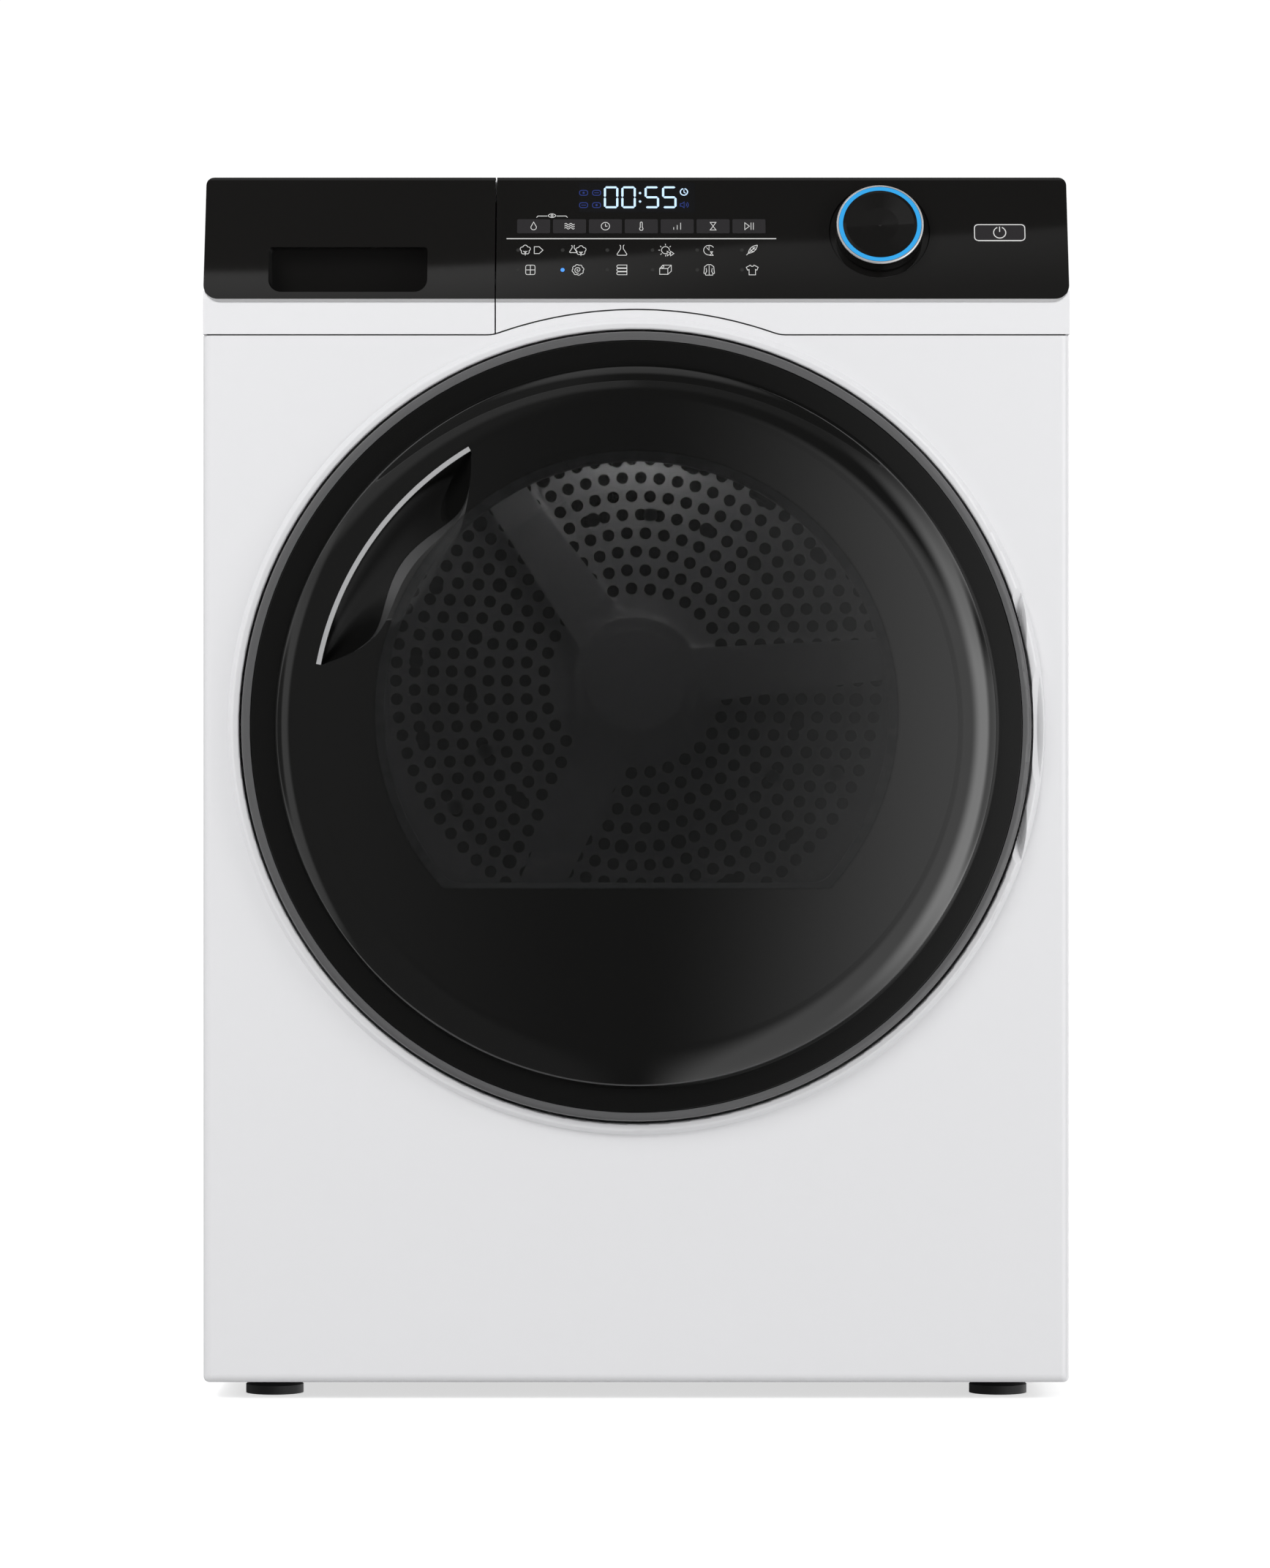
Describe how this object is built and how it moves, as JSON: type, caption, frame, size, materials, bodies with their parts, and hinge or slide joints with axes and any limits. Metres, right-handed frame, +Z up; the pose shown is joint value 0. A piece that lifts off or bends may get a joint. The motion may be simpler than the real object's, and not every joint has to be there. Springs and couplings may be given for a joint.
{
  "type": "clothes dryer",
  "caption": "Free-standing front-loading heat-pump clothes dryer with a round dark glass door, leaning black control panel, selector knob and water drawer.",
  "frame": {"origin": "on the floor, under the middle of the overall box", "axes": "+Z up, -Y out of the front, +X to the right as seen from the front"},
  "size_m": [0.596, 0.65, 0.845],
  "materials": {
    "white_enamel": "satin",
    "white_board": "matte",
    "white_moulding": "gloss",
    "black_gloss": "gloss",
    "touch_pad": "satin",
    "bright_trim": "polished",
    "knob_black": "gloss",
    "lit_ring": "lit",
    "ring_grey": "satin",
    "smoked_lens": "gloss",
    "clear_glass": "gloss",
    "light_grey_plastic": "matte",
    "tank_plastic": "matte",
    "drum_steel": "brushed",
    "lifter_plastic": "matte",
    "galvanised": "spangled",
    "dark_plastic": "matte",
    "steel": "satin",
    "bearing": "matte",
    "felt": "matte",
    "rubber": "matte",
    "copper": "satin",
    "fins": "satin",
    "black_enamel": "satin",
    "board_green": "matte"
  },
  "bodies": {
    "cabinet": {"base_tray": "dark_plastic", "left_side_panel": "white_enamel", "right_side_panel": "white_enamel", "rear_panel": "galvanised", "rear_duct_cover": "dark_plastic", "worktop": "white_board", "front_panel": "white_enamel", "crossbar": "galvanised", "fascia_panel": "black_gloss", "fascia_strip": "white_moulding", "fascia_trim": "bright_trim", "touch_keys": "touch_pad", "control_board": "board_green", "tank_guide": "light_grey_plastic", "front_bulkhead": "light_grey_plastic", "drum_felt_seals": "felt", "roller_axles": "steel", "drum_bearing": "bearing", "hinge_bracket": "steel", "hinge_pin": "steel", "door_latch": "dark_plastic", "door_gasket": "rubber", "drive_belt": "rubber", "drive_motor": "black_enamel", "blower_housing": "dark_plastic", "heat_exchangers": "fins", "heat_pump_cover": "dark_plastic", "compressor": "black_enamel", "refrigerant_pipes": "copper", "condensate_pump": "dark_plastic", "pump_hose": "rubber", "rear_fittings": "dark_plastic"},
    "door": {"door_frame": "ring_grey", "door_lens": "smoked_lens", "door_glass": "clear_glass", "door_inner_frame": "light_grey_plastic", "handle_strip": "bright_trim", "hinge_leaf": "steel", "latch_hook": "dark_plastic"},
    "drum": {"drum_shell": "drum_steel", "drum_back": "drum_steel", "drum_lifters": "lifter_plastic", "drum_shaft": "steel"},
    "motor_rotor": {"motor_shaft": "steel", "blower_wheel": "dark_plastic"},
    "idler_lever": {"idler_arm": "steel"},
    "idler_wheel": {"idler_pulley": "steel"},
    "left_support": {"left_roller": "rubber"},
    "right_support": {"right_roller": "rubber"},
    "knob": {"knob_cap": "knob_black", "knob_light_ring": "lit_ring"},
    "water_drawer": {"drawer_front": "black_gloss", "drawer_strip": "white_moulding", "drawer_trim": "bright_trim", "tank_body": "tank_plastic"},
    "filter": {"lint_filter": "light_grey_plastic"},
    "front_left_foot": {"foot_front_left": "rubber"},
    "front_right_foot": {"foot_front_right": "rubber"},
    "rear_left_foot": {"foot_rear_left": "rubber"},
    "rear_right_foot": {"foot_rear_right": "rubber"}
  },
  "joints": [
    {"name": "door_swing", "type": "hinge", "parent": "cabinet", "child": "door", "pos_m": [0.257, -0.296, 0.4635], "axis": [0, 0, 1], "range_deg": [0, 130]},
    {"name": "drum_spin", "type": "hinge", "parent": "cabinet", "child": "drum", "pos_m": [0, 0.24, 0.504], "axis": [0, 1, 0], "continuous": true},
    {"name": "motor_spin", "type": "hinge", "parent": "cabinet", "child": "motor_rotor", "pos_m": [0.195, 0.15, 0.136], "axis": [0, 1, 0], "continuous": true},
    {"name": "idler_swing", "type": "hinge", "parent": "cabinet", "child": "idler_lever", "pos_m": [0.23566, 0.0705, 0.18528], "axis": [0, 1, 0], "range_deg": [0, 10], "stiffness_Nm_per_rad": 2},
    {"name": "idler_spin", "type": "hinge", "parent": "idler_lever", "child": "idler_wheel", "pos_m": [0.25302, 0.06, 0.2448], "axis": [0, 1, 0], "continuous": true},
    {"name": "left_roller_spin", "type": "hinge", "parent": "cabinet", "child": "left_support", "pos_m": [-0.18085, -0.225, 0.24572], "axis": [0, 1, 0], "continuous": true},
    {"name": "right_roller_spin", "type": "hinge", "parent": "cabinet", "child": "right_support", "pos_m": [0.18085, -0.225, 0.24572], "axis": [0, 1, 0], "continuous": true},
    {"name": "knob_turn", "type": "hinge", "parent": "cabinet", "child": "knob", "pos_m": [0.168, -0.27158, 0.80569], "axis": [0, -0.9336, 0.3584], "continuous": true},
    {"name": "drawer_slide", "type": "slide", "parent": "cabinet", "child": "water_drawer", "axis": [0, -1, 0], "range_m": [0, 0.4]},
    {"name": "filter_lift", "type": "slide", "parent": "cabinet", "child": "filter", "axis": [0, 0, 1], "range_m": [0, 0.055]},
    {"name": "front_left_foot_turn", "type": "hinge", "parent": "cabinet", "child": "front_left_foot", "pos_m": [-0.252, -0.234, 0.02], "axis": [0, 0, 1], "continuous": true},
    {"name": "front_right_foot_turn", "type": "hinge", "parent": "cabinet", "child": "front_right_foot", "pos_m": [0.252, -0.234, 0.02], "axis": [0, 0, 1], "continuous": true},
    {"name": "rear_left_foot_turn", "type": "hinge", "parent": "cabinet", "child": "rear_left_foot", "pos_m": [-0.252, 0.2288, 0.02], "axis": [0, 0, 1], "continuous": true},
    {"name": "rear_right_foot_turn", "type": "hinge", "parent": "cabinet", "child": "rear_right_foot", "pos_m": [0.252, 0.2288, 0.02], "axis": [0, 0, 1], "continuous": true}
  ],
  "couplings": [
    {"joint": "motor_spin", "follows": "drum_spin", "ratio": 23.276},
    {"joint": "idler_spin", "follows": "drum_spin", "ratio": -15.906},
    {"joint": "left_roller_spin", "follows": "drum_spin", "ratio": -9.5},
    {"joint": "right_roller_spin", "follows": "drum_spin", "ratio": -9.5}
  ]
}
